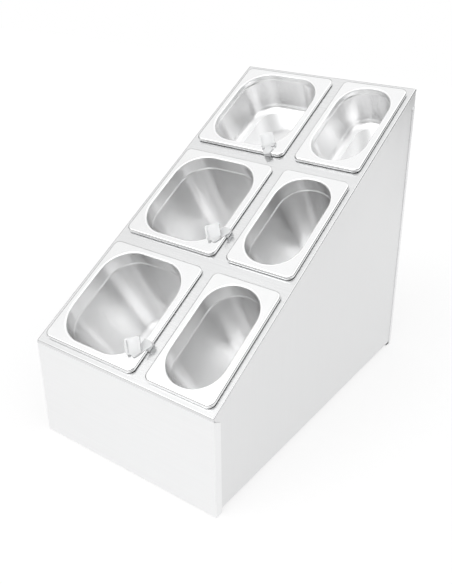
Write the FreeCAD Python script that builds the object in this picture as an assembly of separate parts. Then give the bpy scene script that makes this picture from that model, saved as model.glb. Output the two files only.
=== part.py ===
import FreeCAD, Part
import math
import os

from FreeCAD import Placement, Rotation, Vector

# Condiment holder: a wedge-shaped sheet steel stand whose sloping deck carries six
# lift-out pans in three rows, with a clear label clip on each pan of the left column.
# Frame: +X to the right, +Y to the back, +Z up, origin on the floor under the stand's middle.

# Pans, drawn from sheet: one-sixth size on the left, one-ninth size on the right
pan_length = 176.0
wide_pan_width = 162.0
narrow_pan_width = 108.0
deep_pan_depth = 150.0
shallow_pan_depth = 65.0
pan_sheet = 0.7
rim_height = 7.0
rim_bend = 3.0
rim_corner = 10.0
flange_width = 11.0
mouth_bend = 2.5
wide_mouth_corner = 47.0
narrow_mouth_corner = 41.0
deep_pan_neck = 22.0
shallow_pan_neck = 8.0
shoulder_step = 3.5
shoulder_drop = 3.0
wall_taper = 5.5
floor_bend = 14.0
bend_land = 1.0

# Layout of the pans on the deck
rows = ("front", "middle", "back")
row_gap = 21.0
column_gap = 19.0
end_margin = 7.7
left_margin = 10.0
right_margin = 7.0

# Stand
deck_slope = 30.1
front_height = 153.0
stand_sheet = 1.0
fold_radius = 2.0
fold_drop = 4.0
side_lift = 5.0
side_hem = 10.0
foot_hem = 14.0
front_return = 12.5
front_return_slope = 31.0
back_return = 8.0
back_return_drop = 28.0
back_return_round = 6.0

# Clear label clips, hooked over a pan's rim
clip_wall = 1.5
clip_bend = 1.5
clip_hook_width = 12.0
clip_reach = 11.0
clip_arm_width = 9.0
ticket_width = 21.0
ticket_height = 22.0
ticket_corner = 2.5
ticket_lip = 3.0
ticket_slot = 1.0
ticket_turn = 34.0
ticket_lean = 61.0
side_clip_along = 43.0
side_clip_offset = 18.0
front_clip_along = 25.0
front_clip_offset = 3.0

# Clearances
seat_gap = 0.1
cutout_gap = 2.0
back_gap = 1.0
hook_gap = 0.3
hook_lift = 0.8
lap_setback = 1.5
touching = 0.001

taper = math.radians(wall_taper)
slope = math.radians(deck_slope)


class PanWall:
    """Inside of a pan's wall: insets count inwards from the mouth, depths down from the flange."""

    def __init__(self, pan_depth, neck_depth):
        self.pan_depth = pan_depth
        self.neck_depth = neck_depth
        self.step_depth = neck_depth + shoulder_drop
        self.floor_depth = pan_depth - pan_sheet
        self.floor_inset = shoulder_step + (self.floor_depth - self.step_depth) * math.tan(taper)
        self.bend_inset = self.floor_inset + floor_bend * math.tan((math.pi / 2 - taper) / 2)
        self.bend_depth = self.floor_depth - floor_bend
        self.floor_start = self.bend_inset + bend_land


# The front and middle rows hold deep pans, the back row shallow ones
deep_wall = PanWall(deep_pan_depth, deep_pan_neck)
shallow_wall = PanWall(shallow_pan_depth, shallow_pan_neck)
row_walls = (deep_wall, deep_wall, shallow_wall)

# The back row stands far enough in for the lowest bend of its pans to clear the back panel
bend_behind = (shallow_wall.bend_depth - rim_height) * math.sin(slope) + floor_bend + pan_sheet
wall_behind = (bend_behind + back_gap + stand_sheet) / math.cos(slope)
back_margin = max(end_margin, wall_behind - flange_width - shallow_wall.bend_inset)

# Sizes that follow from the ones above
deck_length = len(rows) * pan_length + (len(rows) - 1) * row_gap + end_margin + back_margin
stand_width = left_margin + wide_pan_width + column_gap + narrow_pan_width + right_margin
stand_depth = deck_length * math.cos(slope)
back_height = front_height + deck_length * math.sin(slope)
wide_column = left_margin + wide_pan_width / 2 - stand_width / 2
narrow_column = stand_width / 2 - right_margin - narrow_pan_width / 2
row_places = [end_margin + pan_length / 2 + i * (pan_length + row_gap) for i in range(len(rows))]
front_face = -stand_depth / 2
back_face = stand_depth / 2
deck_frame = Placement(Vector(0, front_face, front_height), Rotation(Vector(1, 0, 0), deck_slope))
up = Vector(0, 0, 1)


def fitting_corner(corner, width, length):
    """Corner radius, held small enough to leave a straight on every side."""
    return min(corner, width / 2 - bend_land, length / 2 - bend_land)


def rounded_rectangle(width, length, corner):
    """Flat face centred on the Z axis, its corners rounded by true arcs."""
    corner = fitting_corner(corner, width, length)
    diagonal = corner * math.sqrt(0.5)
    edges = []
    for quarter, (wide, tall) in enumerate([(width, length), (length, width)] * 2):
        straight = tall / 2 - corner
        turn = Rotation(up, 90 * quarter)
        first = turn * Vector(wide / 2, -straight, 0)
        second = turn * Vector(wide / 2, straight, 0)
        middle = turn * Vector(wide / 2 - corner + diagonal, straight + diagonal, 0)
        third = turn * Vector(wide / 2 - corner, tall / 2, 0)
        edges.append(Part.LineSegment(first, second).toShape())
        edges.append(Part.Arc(second, middle, third).toShape())
    return Part.Face(Part.Wire(edges))


def plate(width, length, corner, low, high):
    """Rounded rectangle filled from one height to another."""
    face = rounded_rectangle(width, length, corner).translated(Vector(0, 0, low))
    return face.extrude(Vector(0, 0, high - low))


def bent_edges(points):
    """Edges in the XZ plane through (x, z, radius) points, each inner corner rounded."""
    edges = []
    start = Vector(points[0][0], 0, points[0][1])
    for index in range(1, len(points)):
        x, z, radius = points[index]
        here = Vector(x, 0, z)
        end = here
        if radius > 0:
            ahead = Vector(points[index + 1][0], 0, points[index + 1][1]) - here
            behind = start - here
            ahead.normalize()
            behind.normalize()
            half = behind.getAngle(ahead) / 2
            bisector = (ahead + behind).normalize()
            run = radius / math.tan(half)
            end = here + behind * run
            middle = here + bisector * (radius / math.sin(half) - radius)
        edges.append(Part.LineSegment(start, end).toShape())
        start = end
        if radius > 0:
            start = here + ahead * run
            edges.append(Part.Arc(end, middle, start).toShape())
    return edges


def sheet_section(points, thickness):
    """Section of bent sheet: the given line and a second one, to its left, a thickness away."""
    steps = []
    for (x0, z0, _), (x1, z1, _) in zip(points, points[1:]):
        length = math.hypot(x1 - x0, z1 - z0)
        steps.append(((x1 - x0) / length, (z1 - z0) / length))
    far = []
    for index, (x, z, radius) in enumerate(points):
        before = steps[max(index - 1, 0)]
        after = steps[min(index, len(steps) - 1)]
        scale = thickness / (1 + before[0] * after[0] + before[1] * after[1])
        shift_x = -(before[1] + after[1]) * scale
        shift_z = (before[0] + after[0]) * scale
        left_turn = before[0] * after[1] - before[1] * after[0] > 0
        if radius > 0:
            radius = radius - thickness if left_turn else radius + thickness
        far.append((x + shift_x, z + shift_z, radius))
    near_edges = bent_edges(points)
    far_edges = bent_edges(far)
    caps = []
    for end in (0, -1):
        here = Vector(points[end][0], 0, points[end][1])
        there = Vector(far[end][0], 0, far[end][1])
        caps.append(Part.LineSegment(here, there).toShape())
    return Part.Face(Part.Wire(Part.__sortEdges__(near_edges + far_edges + caps)))


def ring(section, width, length, corner):
    """Section swept round a rounded rectangle; its x counts outwards from that outline."""
    corner = fitting_corner(corner, width, length)
    pieces = []
    for quarter, (wide, tall) in enumerate([(width, length), (length, width)] * 2):
        straight = tall - 2 * corner
        bar = section.translated(Vector(wide / 2, -straight / 2, 0)).extrude(Vector(0, straight, 0))
        start = section.translated(Vector(wide / 2, straight / 2, 0))
        bend = start.revolve(Vector(wide / 2 - corner, straight / 2, 0), up, 90)
        for piece in (bar, bend):
            piece.rotate(Vector(0, 0, 0), up, 90 * quarter)
            pieces.append(piece)
    return pieces


def join(pieces):
    return pieces[0].multiFuse(pieces[1:]).removeSplitter()


def drawn_pan(width, mouth_corner, inside):
    """Pan in its own frame: seat of the rim at z = 0, length along Y."""
    top = rim_height
    floor = top - inside.floor_depth
    floor_start = inside.floor_start
    mouth_width = width - 2 * flange_width
    mouth_length = pan_length - 2 * flange_width
    corner = fitting_corner(mouth_corner, mouth_width, mouth_length)
    mouth_run = mouth_bend + bend_land
    rim_run = rim_bend + bend_land
    wall = [
        (-floor_start, floor, 0),
        (-inside.floor_inset, floor, floor_bend),
        (-shoulder_step, top - inside.step_depth, 0),
        (0, top - inside.neck_depth, 0),
        (0, top, mouth_bend),
        (mouth_run, top, 0),
    ]
    skirt = [
        (-rim_run, top, 0),
        (0, top, rim_bend),
        (0, 0, 0),
    ]
    pieces = ring(sheet_section(wall, -pan_sheet), mouth_width, mouth_length, corner)
    pieces += ring(sheet_section(skirt, -pan_sheet), width, pan_length, rim_corner)
    pieces.append(plate(mouth_width - 2 * floor_start, mouth_length - 2 * floor_start,
                        corner - floor_start, floor - pan_sheet, floor))
    flange = plate(width - 2 * rim_run, pan_length - 2 * rim_run, rim_corner - rim_run,
                   top - pan_sheet, top)
    hole = plate(mouth_width + 2 * mouth_run, mouth_length + 2 * mouth_run, corner + mouth_run,
                 top - 2 * pan_sheet, top + pan_sheet)
    pieces.append(flange.cut(hole))
    return join(pieces)


def label_clip(offset, turn):
    """Clear clip: hook over a rim that runs along Y at x = 0, arm, and a leaning ticket plate."""
    low = rim_height + hook_gap
    arm_top = low + clip_wall
    hook = [
        (-clip_reach, low, 0),
        (hook_gap, low, clip_bend),
        (hook_gap, hook_lift, 0),
    ]
    body = sheet_section(hook, clip_wall).translated(Vector(0, -clip_hook_width / 2, 0))
    body = body.extrude(Vector(0, clip_hook_width, 0))
    foot = Vector(-clip_reach, -offset, 0)
    arm_length = foot.Length + clip_arm_width
    arm = plate(arm_length, clip_arm_width, clip_arm_width / 2, low, arm_top)
    arm.rotate(Vector(0, 0, 0), up, math.degrees(math.atan2(foot.y, foot.x)))
    arm.translate(foot * 0.5)
    half = ticket_width / 2
    back = rounded_rectangle(ticket_width, ticket_height, ticket_corner).extrude(Vector(0, 0, clip_wall))
    lip_depth = ticket_slot + 2 * clip_wall
    lip = [
        (-half, 0, 0),
        (-half, lip_depth, 0),
        (ticket_lip - half, lip_depth, 0),
    ]
    lip_section = sheet_section(lip, -clip_wall)
    ticket = back
    for half_turn in (0, 180):
        rail = lip_section.translated(Vector(0, ticket_corner - ticket_height / 2, 0))
        rail = rail.extrude(Vector(0, ticket_height - 2 * ticket_corner, 0))
        rail.rotate(Vector(0, 0, 0), up, half_turn)
        ticket = ticket.fuse(rail)
    ticket.translate(Vector(0, ticket_height / 2, 0))
    ticket.rotate(Vector(0, 0, 0), Vector(1, 0, 0), 90 - ticket_lean)
    ticket.rotate(Vector(0, 0, 0), up, turn)
    ticket.translate(foot + up * (arm_top - clip_wall))
    return join([body, arm, ticket])


def wedge(inset, low):
    """Solid under the deck, set in from the stand's faces, down to a depth below the deck."""
    front = front_face + inset
    back = back_face - inset
    skin = inset / math.cos(slope)
    rise = math.tan(slope)
    top_front = front_height + (front - front_face) * rise
    top_back = front_height + (back - front_face) * rise
    drop = low / math.cos(slope)
    half = stand_width / 2 - inset
    corners = [
        Vector(-half, front, top_front - drop),
        Vector(-half, back, top_back - drop),
        Vector(-half, back, top_back - skin),
        Vector(-half, front, top_front - skin),
    ]
    solid = Part.Face(Part.makePolygon(corners + corners[:1])).extrude(Vector(2 * half, 0, 0))
    upper = top_front - skin
    edges = []
    for edge in solid.Edges:
        middle = edge.CenterOfMass
        depth = upper + (middle.y - front) * rise - middle.z
        if abs(depth) < touching:
            edges.append(edge)
    return solid.makeFillet(fold_radius - inset, edges)


def pan_places():
    """Name, width, mouth corner, wall and deck position of each pan."""
    for row, wall, along in zip(rows, row_walls, row_places):
        yield row + "_left_pan", wide_pan_width, wide_mouth_corner, wall, wide_column, along
        yield row + "_right_pan", narrow_pan_width, narrow_mouth_corner, wall, narrow_column, along


def deck_panel():
    """Folded sheet: the deck with its cut-outs and the start of each folded-down edge."""
    shell = wedge(0, fold_drop).cut(wedge(stand_sheet, fold_drop + stand_sheet))
    around = 2 * (pan_sheet + cutout_gap - flange_width)
    for _, width, corner, _, column, along in pan_places():
        cutout = plate(width + around, pan_length + around, corner + pan_sheet + cutout_gap,
                       -2 * stand_sheet, stand_sheet)
        cutout.translate(Vector(column, along, 0))
        cutout.Placement = deck_frame.multiply(cutout.Placement)
        shell = shell.cut(cutout)
    return shell


def below_folds(panel):
    """Panel cut off where the deck's folded edges end."""
    reach = 2 * (stand_depth + back_height)
    block = Part.makeBox(reach, reach, reach, Vector(-reach / 2, -reach / 2, -fold_drop))
    block.Placement = deck_frame.multiply(block.Placement)
    return panel.cut(block)


def side_panel(side):
    """Upright wedge-shaped sheet with a hem turned in along its raised lower edge."""
    outside = stand_width / 2
    start = front_face + stand_sheet + lap_setback
    end = back_face - stand_sheet
    section = sheet_section([
        (outside, back_height, 0),
        (outside, side_lift, fold_radius),
        (outside - side_hem, side_lift, 0),
    ], -stand_sheet)
    panel = section.translated(Vector(0, start, 0)).extrude(Vector(0, end - start, 0))
    lap_top = back_height - back_return_drop + lap_setback
    beside_lap = Part.makeBox(2 * side_hem, lap_setback, lap_top,
                              Vector(outside - side_hem, end - lap_setback, 0))
    panel = below_folds(panel.cut(beside_lap))
    if side < 0:
        panel = panel.mirror(Vector(0, 0, 0), Vector(1, 0, 0))
    return panel


def end_panel(face, inward, returns):
    """Upright sheet with side returns lapped over the sides and a foot hem turned in."""
    half = stand_width / 2 + stand_sheet
    section = sheet_section([
        (-half, face + inward * returns, 0),
        (-half, face, fold_radius),
        (half, face, fold_radius),
        (half, face + inward * returns, 0),
    ], inward * stand_sheet)
    section.rotate(Vector(0, 0, 0), Vector(1, 0, 0), -90)
    wall = section.extrude(Vector(0, 0, back_height))
    inside = stand_width / 2 - stand_sheet
    hem = sheet_section([
        (face, back_height, 0),
        (face, 0, fold_radius),
        (face + inward * foot_hem, 0, 0),
    ], inward * stand_sheet)
    hem.rotate(Vector(0, 0, 0), up, 90)
    foot = hem.translated(Vector(-inside, 0, 0)).extrude(Vector(2 * inside, 0, 0))
    strip = Part.makeBox(2 * inside, 2 * fold_radius, fold_radius,
                         Vector(-inside, face - fold_radius, 0))
    return below_folds(wall.cut(strip).fuse(foot).removeSplitter())


def without_returns(panel, outline):
    """Panel with its two side returns, bends and all, trimmed inside an outline of (y, z) points."""
    points = [Vector(0, y, z) for y, z in outline]
    area = Part.Face(Part.makePolygon(points + points[:1]))
    flat = stand_width / 2 + stand_sheet - fold_radius
    for side in (-1, 1):
        outer = area.translated(Vector(side * flat, 0, 0))
        panel = panel.cut(outer.extrude(Vector(side * 2 * fold_radius, 0, 0)))
    return panel


def front_panel():
    """Front sheet; the top of each return slopes away from the corner."""
    panel = end_panel(front_face, 1, front_return)
    fall = math.tan(math.radians(front_return_slope))
    top = front_height - fold_drop / math.cos(slope)
    before = front_face - stand_sheet
    beyond = front_face + front_return + stand_sheet
    return without_returns(panel, [
        (before, top + stand_sheet * fall),
        (beyond, top - (front_return + stand_sheet) * fall),
        (beyond, 2 * top),
        (before, 2 * top),
    ])


def back_panel():
    """Back sheet; the returns stop below the deck's corner, with a rounded end."""
    panel = end_panel(back_face, -1, back_return)
    top = back_height - back_return_drop
    edge = back_face - back_return
    beyond = back_face + stand_sheet
    panel = without_returns(panel, [
        (edge - stand_sheet, top),
        (beyond, top),
        (beyond, 2 * top),
        (edge - stand_sheet, 2 * top),
    ])
    ends = []
    for corner in panel.Edges:
        middle = corner.CenterOfMass
        if math.hypot(middle.y - edge, middle.z - top) < touching:
            ends.append(corner)
    return panel.makeFillet(back_return_round, ends)


def build():
    """Every node's solid, in place."""
    nodes = {
        "deck_panel": deck_panel(),
        "left_side_panel": side_panel(-1),
        "right_side_panel": side_panel(1),
        "front_panel": front_panel(),
        "back_panel": back_panel(),
    }
    for name, width, corner, wall, column, along in pan_places():
        place = Placement(Vector(column, along, seat_gap), Rotation())
        pan = drawn_pan(width, corner, wall)
        pan.Placement = deck_frame.multiply(place)
        nodes[name] = pan
    for row, along in zip(rows, row_places):
        side = wide_column + wide_pan_width / 2
        front = along - pan_length / 2
        place = Placement(Vector(side, front + side_clip_along, seat_gap), Rotation())
        clip = label_clip(side_clip_offset, ticket_turn)
        if row == rows[-1]:
            place = Placement(Vector(side - front_clip_along, front, seat_gap), Rotation(up, -90))
            clip = label_clip(front_clip_offset, ticket_turn + 90)
        clip.Placement = deck_frame.multiply(place)
        nodes[row + "_label_clip"] = clip
    return nodes


os.makedirs("parts", exist_ok=True)
for node, shape in build().items():
    shape.exportStep("parts/" + node + ".step")
    print(node, shape.isValid(), len(shape.Solids), round(shape.Volume))
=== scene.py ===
import math

import bpy
from mathutils import Matrix, Vector


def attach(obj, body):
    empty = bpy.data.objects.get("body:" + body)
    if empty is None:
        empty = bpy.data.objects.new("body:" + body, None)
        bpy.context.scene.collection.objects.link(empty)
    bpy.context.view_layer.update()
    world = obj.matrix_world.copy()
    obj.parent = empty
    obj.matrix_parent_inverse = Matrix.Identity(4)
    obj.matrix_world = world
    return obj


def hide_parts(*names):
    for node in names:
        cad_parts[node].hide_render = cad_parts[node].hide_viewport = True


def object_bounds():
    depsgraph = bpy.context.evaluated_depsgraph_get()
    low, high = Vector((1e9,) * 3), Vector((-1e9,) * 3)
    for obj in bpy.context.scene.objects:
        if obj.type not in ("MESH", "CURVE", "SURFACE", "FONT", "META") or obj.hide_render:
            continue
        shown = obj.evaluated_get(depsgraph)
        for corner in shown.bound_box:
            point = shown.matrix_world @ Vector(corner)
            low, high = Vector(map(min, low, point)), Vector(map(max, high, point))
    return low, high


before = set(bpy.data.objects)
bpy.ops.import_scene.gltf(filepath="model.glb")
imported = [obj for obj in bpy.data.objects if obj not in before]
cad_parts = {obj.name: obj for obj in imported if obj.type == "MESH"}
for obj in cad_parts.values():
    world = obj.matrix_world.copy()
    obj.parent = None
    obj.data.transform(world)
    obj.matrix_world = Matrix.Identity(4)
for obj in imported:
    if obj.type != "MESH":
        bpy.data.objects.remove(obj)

cad_box = [list(corner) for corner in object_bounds()]

MM = 0.001

ROWS = ("front", "middle", "back")

# Pan sizes (mm): plan, depth, neck and rim height as in the part's source, the rest nearer to the photo
PAN_LENGTH = 176.0
PAN_WIDTHS = {"left": 162.0, "right": 108.0}
MOUTH_CORNERS = {"left": 47.0, "right": 41.0}
PAN_DEPTHS = {"front": 150.0, "middle": 150.0, "back": 65.0}
NECK_DEPTHS = {"front": 22.0, "middle": 22.0, "back": 8.0}
PAN_SHEET = 0.7
FLANGE = 11.0
RIM_HEIGHT = 7.0
RIM_CORNER = 10.0
RIM_BEND = 3.2
MOUTH_BEND = 2.0
SHOULDER_STEP = 1.0
SHOULDER_DROP = 2.2
SHOULDER_ROUND = 0.8

# How far in from the mouth the wall's line meets the floor, and the bend between the two
FLOOR_INSETS = {"front": 15.5, "middle": 15.5, "back": 8.6}
FLOOR_BENDS = {"front": 10.0, "middle": 10.0, "back": 12.5}

# The rim's lower edge turns in by this radius, and stops this far above the seat
RIM_ROLL = 1.2
RIM_LIFT = 1.2

# Flat strip kept beside a bend
BEND_LAND = 1.0

# Places of the pans on the deck (mm)
END_MARGIN = 7.7
ROW_GAP = 21.0
SIDE_MARGINS = {"left": 10.0, "right": 7.0}
COLUMN_GAP = 19.0
SEAT_GAP = 0.1
FRONT_HEIGHT = 153.0
SLOPE = math.radians(30.1)
FRONT_FACE = cad_box[0][1] / MM
FIRST_ROW = END_MARGIN + PAN_LENGTH / 2
ROW_PITCH = PAN_LENGTH + ROW_GAP
DECK_WIDTH = sum(PAN_WIDTHS.values()) + sum(SIDE_MARGINS.values()) + COLUMN_GAP
COLUMNS = {
    "left": SIDE_MARGINS["left"] + PAN_WIDTHS["left"] / 2 - DECK_WIDTH / 2,
    "right": DECK_WIDTH / 2 - SIDE_MARGINS["right"] - PAN_WIDTHS["right"] / 2,
}

# Pan meshes: fineness, material slots and the map that carries the polishing lines
CORNER_STEPS = 18
BEND_STEPS = 12
WALL_SLOT, RIM_SLOT, FLOOR_SLOT = 0, 1, 2
GRAIN_MAP = "grain"


# Pans drawn as smooth sheet

def bent_path(points):
    """(x, z, nx, nz) along a line with rounded corners; the normal is on its right."""
    path = []
    for index, (x, z, radius) in enumerate(points):
        here = Vector((x, z))
        before = (here - Vector(points[index - 1][:2])).normalized() if index else None
        after = None
        if index + 1 < len(points):
            after = (Vector(points[index + 1][:2]) - here).normalized()
        if before is None or after is None or radius == 0:
            along = after if before is None else before
            path.append((x, z, along.y, -along.x))
            continue
        turn = before.angle_signed(after)
        run = radius * math.tan(abs(turn) / 2)
        start = here - before * run
        side = -1 if turn > 0 else 1
        to_centre = Vector((-before.y, before.x)) * radius * side
        centre = start + to_centre
        for step in range(BEND_STEPS + 1):
            swing = Matrix.Rotation(side * abs(turn) * step / BEND_STEPS, 2)
            along = swing @ before
            point = centre - swing @ to_centre
            path.append((point.x, point.y, along.y, -along.x))
    return path


def skirt_path():
    """Rim from its rolled lower edge, up and over onto the flange."""
    return bent_path([
        (-RIM_ROLL - PAN_SHEET, RIM_LIFT, 0),
        (0, RIM_LIFT, RIM_ROLL),
        (0, RIM_HEIGHT, RIM_BEND),
        (-RIM_BEND - BEND_LAND, RIM_HEIGHT, 0),
    ])


def wall_path(depth, neck, floor_inset, floor_bend):
    """Mouth, neck, shoulder, tapered wall and floor bend, as far as the flat floor."""
    step_depth = neck + SHOULDER_DROP
    floor_depth = depth - PAN_SHEET
    taper = math.atan((floor_inset - SHOULDER_STEP) / (floor_depth - step_depth))
    floor_run = floor_bend * math.tan((math.pi / 2 - taper) / 2)
    return bent_path([
        (MOUTH_BEND + BEND_LAND, RIM_HEIGHT, 0),
        (0, RIM_HEIGHT, MOUTH_BEND),
        (0, RIM_HEIGHT - neck, SHOULDER_ROUND),
        (-SHOULDER_STEP, RIM_HEIGHT - step_depth, SHOULDER_ROUND),
        (-floor_inset, RIM_HEIGHT - floor_depth, floor_bend),
        (-floor_inset - floor_run - BEND_LAND, RIM_HEIGHT - floor_depth, 0),
    ])


def outline_loop(width, length, corner, offset):
    """(x, y, nx, ny) round a rounded rectangle pushed out by an offset."""
    points = []
    signs = ((1, 1), (-1, 1), (-1, -1), (1, -1))
    for quarter, (sx, sy) in enumerate(signs):
        cx = sx * (width / 2 - corner)
        cy = sy * (length / 2 - corner)
        for step in range(CORNER_STEPS + 1):
            angle = math.pi / 2 * (quarter + step / CORNER_STEPS)
            nx, ny = math.cos(angle), math.sin(angle)
            points.append((cx + (corner + offset) * nx, cy + (corner + offset) * ny, nx, ny))
    return points


def sheet_loops(rings, place):
    """Vertices, normals and vertex loops of a sheet's outer and inner face, set in the row frame."""
    verts, normals, loops = [], [], []
    turn = place.to_3x3()
    for face in (1, -1):
        group = []
        for outline, (x, z, nx, nz) in rings:
            if face < 0:
                x, z = x - nx * PAN_SHEET, z - nz * PAN_SHEET
            first = len(verts)
            for px, py, ox, oy in outline_loop(*outline, x):
                verts.append(place @ (Vector((px, py, z)) * MM))
                normals.append((turn @ Vector((ox * nx, oy * nx, nz)) * face).normalized())
            group.append(range(first, len(verts)))
        loops.append(group)
    return verts, normals, loops


def pan_mesh(name, row, column, place):
    """Closed mesh of one drawn pan with exact normals, set in the row frame."""
    width = PAN_WIDTHS[column]
    rim = (width, PAN_LENGTH, RIM_CORNER)
    mouth = (width - 2 * FLANGE, PAN_LENGTH - 2 * FLANGE, MOUTH_CORNERS[column])
    skirt = skirt_path()
    wall = wall_path(PAN_DEPTHS[row], NECK_DEPTHS[row], FLOOR_INSETS[row], FLOOR_BENDS[row])
    rings = [(rim, point) for point in skirt] + [(mouth, point) for point in wall]
    verts, normals, (outer, inner) = sheet_loops(rings, place)
    faces, slots, grain = [], [], []

    def add(face, slot, on_sheet):
        faces.append(face)
        slots.append(slot)
        grain.extend(on_sheet)

    count = len(outer[0])
    for i in range(count):
        j = (i + 1) % count
        here, there = i / count, (i + 1) / count
        for k in range(len(rings) - 1):
            slot = RIM_SLOT if k < len(skirt) else WALL_SLOT
            low, high = outer[k], outer[k + 1]
            add((low[i], low[j], high[j], high[i]), slot,
                [(here, k), (there, k), (there, k + 1), (here, k + 1)])
            low, high = inner[k], inner[k + 1]
            add((low[j], low[i], high[i], high[j]), slot,
                [(there, k), (here, k), (here, k + 1), (there, k + 1)])
        add((outer[0][j], outer[0][i], inner[0][i], inner[0][j]), RIM_SLOT,
            [(there, 0), (here, 0), (here, -1), (there, -1)])
    for floor in (tuple(outer[-1]), tuple(reversed(inner[-1]))):
        add(floor, FLOOR_SLOT, [verts[v].to_2d() for v in floor])

    mesh = bpy.data.meshes.new(name)
    mesh.from_pydata(verts, [], faces)
    mesh.polygons.foreach_set("use_smooth", [True] * len(mesh.polygons))
    mesh.polygons.foreach_set("material_index", slots)
    layer = mesh.uv_layers.new(name=GRAIN_MAP)
    for corner, on_sheet in zip(layer.data, grain):
        corner.uv = on_sheet
    mesh.normals_split_custom_set_from_vertices(normals)
    mesh.update()
    obj = bpy.data.objects.new(name, mesh)
    bpy.context.scene.collection.objects.link(obj)
    return obj


# Materials

WHITE = (1, 1, 1, 1)
EVEN = (1, 1, 1)
ALONG_WIDTH = (1, 60, 60)
ALONG_SIDE = (60, 60, 1)
UNTURNED = (0, 0, 0)
SIDE_TURN = (SLOPE, 0, 0)
NOISE_LOW, NOISE_HIGH = 0.3, 0.7
LINE_SCALE = 9
SATIN_SCALE = 60
CLOUD_SCALE = 9
FINE_DETAIL, SOFT_DETAIL, PAPER_DETAIL = 6, 3, 2
FINE_SHARE, CLOUD_SHARE = 0.6, 0.4
GRAIN_HEIGHT = 0.3 * MM
WALL_ANISOTROPY = 0.5
QUARTER_TURN = 0.25
CLEAR_TRANSMISSION = 0.42
CLEAR_IOR = 1.49
MARK_SCALE = 160
MARK_BUMP = 0.15
MARK_HEIGHT = 0.2 * MM


def new_material(name):
    """New material with its nodes, links and main shader."""
    material = bpy.data.materials.new(name)
    material.use_nodes = True
    nodes = material.node_tree.nodes
    return material, nodes, material.node_tree.links, nodes["Principled BSDF"]


def math_node(nodes, links, operation, *values):
    """Output of a math node fed by numbers or by other nodes' outputs."""
    node = nodes.new("ShaderNodeMath")
    node.operation = operation
    for socket, value in zip(node.inputs, values):
        if isinstance(value, (int, float)):
            socket.default_value = value
        else:
            links.new(value, socket)
    return node.outputs[0]


def streaks(nodes, links, stretch, turn, scale, detail):
    """Noise set in the row frame; an uneven stretch draws it out into lines."""
    place = nodes.new("ShaderNodeTexCoord")
    mapping = nodes.new("ShaderNodeMapping")
    mapping.inputs["Rotation"].default_value = turn
    mapping.inputs["Scale"].default_value = stretch
    noise = nodes.new("ShaderNodeTexNoise")
    noise.inputs["Scale"].default_value = scale
    noise.inputs["Detail"].default_value = detail
    links.new(place.outputs["Object"], mapping.inputs["Vector"])
    links.new(mapping.outputs["Vector"], noise.inputs["Vector"])
    return noise.outputs["Fac"]


def ranged(nodes, links, source, low, high):
    """Noise spread over another range."""
    spread = nodes.new("ShaderNodeMapRange")
    spread.inputs["From Min"].default_value = NOISE_LOW
    spread.inputs["From Max"].default_value = NOISE_HIGH
    spread.inputs["To Min"].default_value = low
    spread.inputs["To Max"].default_value = high
    links.new(source, spread.inputs["Value"])
    return spread.outputs["Result"]


def tint(nodes, links, factor, dark, pale):
    """Colour between two others."""
    mix = nodes.new("ShaderNodeMix")
    mix.data_type = "RGBA"
    mix.inputs["A"].default_value = (*dark, 1)
    mix.inputs["B"].default_value = (*pale, 1)
    links.new(factor, mix.inputs["Factor"])
    return mix.outputs["Result"]


def raise_grain(nodes, links, shader, source, strength, distance):
    """Fine relief on the surface."""
    height = nodes.new("ShaderNodeBump")
    height.inputs["Strength"].default_value = strength
    height.inputs["Distance"].default_value = distance
    links.new(source, height.inputs["Height"])
    links.new(height.outputs["Normal"], shader.inputs["Normal"])


def steel(name, dark, pale, rough, stretch, turn, scale, bump):
    """Stainless sheet: fine grain in colour, gloss and height, over soft clouding; the dark and pale
    ends also set the sheet's overall tone, which for some parts is painted light or shade.
    """
    material, nodes, links, shader = new_material(name)
    shader.inputs["Metallic"].default_value = 1.0
    fine = streaks(nodes, links, stretch, turn, scale, FINE_DETAIL)
    cloud = streaks(nodes, links, EVEN, UNTURNED, CLOUD_SCALE, SOFT_DETAIL)
    soft = math_node(nodes, links, "MULTIPLY", cloud, CLOUD_SHARE)
    blend = math_node(nodes, links, "MULTIPLY_ADD", fine, FINE_SHARE, soft)
    links.new(tint(nodes, links, blend, dark, pale), shader.inputs["Base Color"])
    links.new(ranged(nodes, links, blend, *rough), shader.inputs["Roughness"])
    raise_grain(nodes, links, shader, fine, bump, GRAIN_HEIGHT)
    return material


def polish_round(material, strength):
    """Gloss drawn out up and down the walls, as by polishing lines that run round the pan."""
    nodes = material.node_tree.nodes
    shader = nodes["Principled BSDF"]
    lines = nodes.new("ShaderNodeTangent")
    lines.direction_type = "UV_MAP"
    lines.uv_map = GRAIN_MAP
    material.node_tree.links.new(lines.outputs["Tangent"], shader.inputs["Tangent"])
    shader.inputs["Anisotropic"].default_value = strength
    shader.inputs["Anisotropic Rotation"].default_value = QUARTER_TURN


def clear_plastic(name, dark, pale, rough):
    """Clear moulded plastic with faint flow marks."""
    material, nodes, links, shader = new_material(name)
    shader.inputs["Transmission Weight"].default_value = CLEAR_TRANSMISSION
    shader.inputs["IOR"].default_value = CLEAR_IOR
    marks = streaks(nodes, links, EVEN, UNTURNED, MARK_SCALE, SOFT_DETAIL)
    links.new(tint(nodes, links, marks, dark, pale), shader.inputs["Base Color"])
    links.new(ranged(nodes, links, marks, *rough), shader.inputs["Roughness"])
    raise_grain(nodes, links, shader, marks, MARK_BUMP, MARK_HEIGHT)
    return material


# The deck's darker colour is partly its brushed grain and partly painted shade, standing in for the
# shade the pan rims cast on the strips between them
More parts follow.
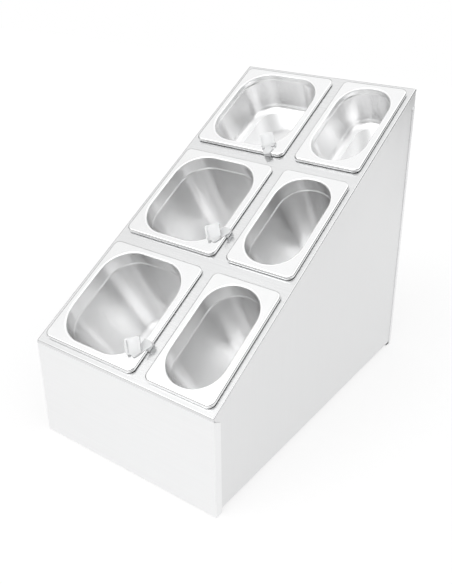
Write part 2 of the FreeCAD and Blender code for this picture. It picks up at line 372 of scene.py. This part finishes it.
DECK_STEEL = steel(
    "deck_steel", dark=(0.67, 0.674, 0.678), pale=(0.84, 0.842, 0.844), rough=(0.22, 0.3),
    stretch=ALONG_WIDTH, turn=UNTURNED, scale=LINE_SCALE, bump=0.02)
FRONT_STEEL = steel(
    "front_steel", dark=(0.86, 0.863, 0.866), pale=(0.94, 0.942, 0.944), rough=(0.3, 0.42),
    stretch=ALONG_WIDTH, turn=UNTURNED, scale=LINE_SCALE, bump=0.1)
# The side panels get a darker colour than the front and back panels of the same steel: painted shade
# for the side that takes less light
SIDE_STEEL = steel(
    "side_steel", dark=(0.75, 0.753, 0.756), pale=(0.83, 0.832, 0.834), rough=(0.28, 0.4),
    stretch=ALONG_SIDE, turn=SIDE_TURN, scale=LINE_SCALE, bump=0.1)
# The pan's walls, rim and floor are one drawn sheet given three colours: walls palest, rim darker,
# floor darkest. These are lit and shaded copies of the one steel, with painted light on the walls and
# painted shade on the rim and floor
PAN_STEEL = steel(
    "drawn_pan_steel", dark=(0.92, 0.921, 0.922), pale=(0.965, 0.966, 0.967), rough=(0.3, 0.36),
    stretch=EVEN, turn=UNTURNED, scale=SATIN_SCALE, bump=0.05)
polish_round(PAN_STEEL, WALL_ANISOTROPY)
RIM_STEEL = steel(
    "pan_rim_steel", dark=(0.82, 0.822, 0.824), pale=(0.9, 0.902, 0.904), rough=(0.09, 0.14),
    stretch=EVEN, turn=UNTURNED, scale=SATIN_SCALE, bump=0.05)
# Darkest copy of the pan steel: painted shade for the bottom of the pan, with a glossier finish
FLOOR_STEEL = steel(
    "pan_floor_steel", dark=(0.76, 0.762, 0.764), pale=(0.84, 0.842, 0.844), rough=(0.13, 0.18),
    stretch=EVEN, turn=UNTURNED, scale=SATIN_SCALE, bump=0.05)
CLEAR = clear_plastic(
    "clear_plastic", dark=(0.95, 0.96, 0.965), pale=(0.99, 0.995, 1.0), rough=(0.04, 0.12))

NODE_MATERIALS = {
    "deck_panel": DECK_STEEL,
    "front_panel": FRONT_STEEL,
    "back_panel": FRONT_STEEL,
    "left_side_panel": SIDE_STEEL,
    "right_side_panel": SIDE_STEEL,
}
for row in ROWS:
    NODE_MATERIALS[row + "_label_clip"] = CLEAR
for node, material in NODE_MATERIALS.items():
    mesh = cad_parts[node].data
    mesh.materials.clear()
    mesh.materials.append(material)


# Pans in place

front_edge = Vector((0, FRONT_FACE, FRONT_HEIGHT)) * MM
deck = Matrix.Translation(front_edge) @ Matrix.Rotation(SLOPE, 4, "X")
for index, row in enumerate(ROWS):
    for column, across in COLUMNS.items():
        node = row + "_" + column + "_pan"
        centre = Vector((across, FIRST_ROW + index * ROW_PITCH, SEAT_GAP)) * MM
        pan = pan_mesh(node + "_sheet", row, column, deck @ Matrix.Translation(centre))
        for finish in (PAN_STEEL, RIM_STEEL, FLOOR_STEEL):
            pan.data.materials.append(finish)
        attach(pan, node + "_body")
        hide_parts(node)


# Stage and light

# White paper under the stand (metres)
PAPER_DROP = -0.5 * MM
PAPER_LOW, PAPER_HIGH = (-5.0, -5.0), (2.2, 2.4)
PAPER_COLOUR = (0.96, 0.96, 0.96)
PAPER_SHADE = 0.99
PAPER_SCALE = 3
PAPER_ROUGHNESS = 0.9
PAPER_SPECULAR = 0.1
PAPER_GLOW = 0.7

# Rises above the horizon between which the light grows from a small share to the whole
HORIZON_LOW, HORIZON_HIGH = 0.1, 0.5
HORIZON_SHARE = 0.08

# Soft patches of light: direction, tightness and strength
LIGHT_PATCHES = {
    "front left key": ((-0.3, -0.8, 0.55), 10.0, 1.9),
    "high front fill": ((-0.3, -0.65, 0.7), 2.0, 1.2),
    "right": ((0.84, 0.0, 0.54), 8.0, 1.2),
    "low front right": ((0.87, -0.45, 0.2), 7.0, 0.7),
    "back right": ((0.3, 0.6, 0.75), 6.0, 1.1),
    "back left": ((-0.55, 0.35, 0.75), 9.0, 0.5),
}


def seen_rays(nodes, links):
    """1 for rays from the camera, off gloss or through clear plastic, 0 for the rest."""
    rays = nodes.new("ShaderNodeLightPath").outputs
    shiny = math_node(nodes, links, "MAXIMUM", rays["Is Glossy Ray"], rays["Is Transmission Ray"])
    return math_node(nodes, links, "MAXIMUM", rays["Is Camera Ray"], shiny)


def stage_floor():
    """White paper: part of what is seen is its own white, the rest takes light and shadow."""
    (left, front), (right, back) = PAPER_LOW, PAPER_HIGH
    mesh = bpy.data.meshes.new("floor")
    corners = [(left, front), (right, front), (right, back), (left, back)]
    mesh.from_pydata([(x, y, PAPER_DROP) for x, y in corners], [], [(0, 1, 2, 3)])
    obj = bpy.data.objects.new("floor", mesh)
    bpy.context.scene.collection.objects.link(obj)
    material, nodes, links, shader = new_material("floor_paper")
    shader.inputs["Roughness"].default_value = PAPER_ROUGHNESS
    shader.inputs["Specular IOR Level"].default_value = PAPER_SPECULAR
    mottle = streaks(nodes, links, EVEN, UNTURNED, PAPER_SCALE, PAPER_DETAIL)
    shade = tuple(PAPER_SHADE * channel for channel in PAPER_COLOUR)
    links.new(tint(nodes, links, mottle, shade, PAPER_COLOUR), shader.inputs["Base Color"])
    white = nodes.new("ShaderNodeEmission")
    share = math_node(nodes, links, "MULTIPLY", seen_rays(nodes, links), PAPER_GLOW)
    blend = nodes.new("ShaderNodeMixShader")
    links.new(share, blend.inputs["Fac"])
    links.new(shader.outputs["BSDF"], blend.inputs[1])
    links.new(white.outputs["Emission"], blend.inputs[2])
    links.new(blend.outputs["Shader"], nodes["Material Output"].inputs["Surface"])
    mesh.materials.append(material)


def horizon_fade(nodes, links, direction):
    """Share of the light that is left at a direction's rise above the horizon."""
    rise = nodes.new("ShaderNodeSeparateXYZ")
    links.new(direction, rise.inputs[0])
    fade = nodes.new("ShaderNodeMapRange")
    fade.interpolation_type = "SMOOTHSTEP"
    fade.inputs["From Min"].default_value = HORIZON_LOW
    fade.inputs["From Max"].default_value = HORIZON_HIGH
    fade.inputs["To Min"].default_value = HORIZON_SHARE
    links.new(rise.outputs["Z"], fade.inputs["Value"])
    return fade.outputs["Result"]


def studio_world():
    """Soft patches of light all round, and plain white where the camera looks past the paper."""
    world = bpy.data.worlds.new("studio")
    bpy.context.scene.world = world
    world.use_nodes = True
    nodes = world.node_tree.nodes
    links = world.node_tree.links
    direction = nodes.new("ShaderNodeTexCoord").outputs["Generated"]
    total = 0.0
    for towards, tightness, strength in LIGHT_PATCHES.values():
        facing = nodes.new("ShaderNodeVectorMath")
        facing.operation = "DOT_PRODUCT"
        facing.inputs[1].default_value = Vector(towards).normalized()
        links.new(direction, facing.inputs[0])
        fall = math_node(nodes, links, "MULTIPLY_ADD", facing.outputs["Value"], tightness, -tightness)
        glow = math_node(nodes, links, "EXPONENT", fall)
        total = math_node(nodes, links, "MULTIPLY_ADD", glow, strength, total)
    dimmed = math_node(nodes, links, "MULTIPLY", total, horizon_fade(nodes, links, direction))
    light = nodes["Background"]
    light.inputs["Color"].default_value = WHITE
    links.new(dimmed, light.inputs["Strength"])
    paper = nodes.new("ShaderNodeBackground")
    paper.inputs["Color"].default_value = WHITE
    rays = nodes.new("ShaderNodeLightPath")
    choose = nodes.new("ShaderNodeMixShader")
    links.new(rays.outputs["Is Camera Ray"], choose.inputs["Fac"])
    links.new(light.outputs["Background"], choose.inputs[1])
    links.new(paper.outputs["Background"], choose.inputs[2])
    links.new(choose.outputs["Shader"], nodes["World Output"].inputs["Surface"])


stage_floor()
studio_world()


# Camera, solved on the corners seen in the photo (metres, degrees and mm)

CAMERA_PLACE = (0.57534, -0.79152, 0.67923)
CAMERA_TURN = (64.3356, -0.4058, 34.7091)
CAMERA_SENSOR = 36.0
CAMERA_LENS = 44.7
CAMERA_SHIFT = -0.0456

camera = bpy.data.cameras.new("camera")
camera.sensor_fit = "VERTICAL"
camera.sensor_height = CAMERA_SENSOR
camera.lens = CAMERA_LENS
camera.shift_x = CAMERA_SHIFT
camera.shift_y = CAMERA_SHIFT
camera_object = bpy.data.objects.new("camera", camera)
camera_object.location = CAMERA_PLACE
camera_object.rotation_euler = [math.radians(angle) for angle in CAMERA_TURN]
bpy.context.scene.collection.objects.link(camera_object)
bpy.context.scene.camera = camera_object
bpy.context.scene.view_settings.view_transform = "Standard"
